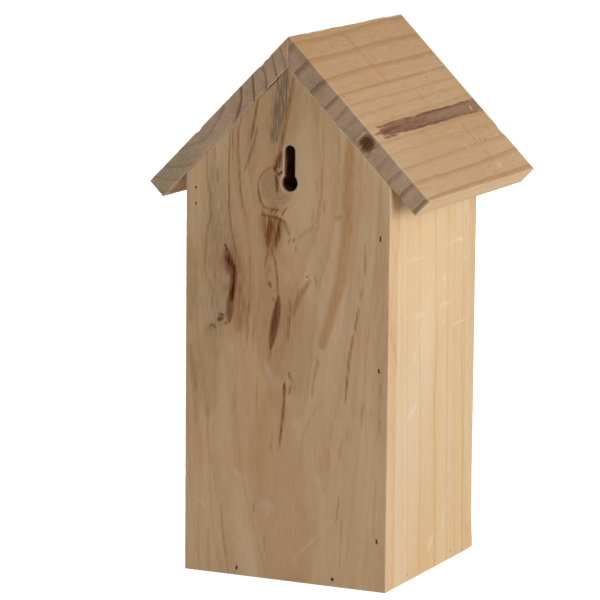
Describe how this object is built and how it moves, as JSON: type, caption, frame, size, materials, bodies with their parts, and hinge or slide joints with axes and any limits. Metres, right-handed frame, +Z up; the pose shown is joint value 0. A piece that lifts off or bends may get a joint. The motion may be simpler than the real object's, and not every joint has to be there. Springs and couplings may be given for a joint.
{
  "type": "bird nest box",
  "caption": "Pine nest box with a pitched overhanging roof, round entrance, keyhole hanger and a side that swings out for cleaning, held shut by a turning hook.",
  "frame": {"origin": "under the middle of the whole box, on the plane that it stands on", "axes": "+Z up, -Y out of the entrance, +Y out of the back that goes to the wall, +X out of the door"},
  "size_m": [0.1726, 0.154, 0.309],
  "materials": {
    "pine_board": "planed bare pine with knots and scuffs",
    "brad_steel": "dull bright steel",
    "hook_zinc": "zinc-plated wire"
  },
  "bodies": {
    "box": {"back_panel": "pine_board", "front_panel": "pine_board", "fixed_side_panel": "pine_board", "floor_board": "pine_board", "roof_board_fixed_side": "pine_board", "roof_board_door_side": "pine_board", "back_brads_fixed_side": "brad_steel", "front_brads_fixed_side": "brad_steel", "back_brads_floor": "brad_steel", "front_brads_floor": "brad_steel", "side_brads_floor": "brad_steel", "roof_brads_back_fixed_side": "brad_steel", "roof_brads_back_door_side": "brad_steel", "roof_brads_front_fixed_side": "brad_steel", "roof_brads_front_door_side": "brad_steel", "door_pivot_nail_back": "brad_steel", "door_pivot_nail_front": "brad_steel"},
    "door": {"clean_out_door": "pine_board"},
    "latch": {"latch_hook": "hook_zinc"}
  },
  "joints": [
    {"name": "door_swing", "type": "hinge", "parent": "box", "child": "door", "pos_m": [0.057, 0, 0.212], "axis": [0, -1, 0], "range_deg": [0, 75]},
    {"name": "latch_turn", "type": "hinge", "parent": "box", "child": "latch", "pos_m": [0.063, -0.04, 0.024], "axis": [1, 0, 0], "range_deg": [0, 90]}
  ]
}
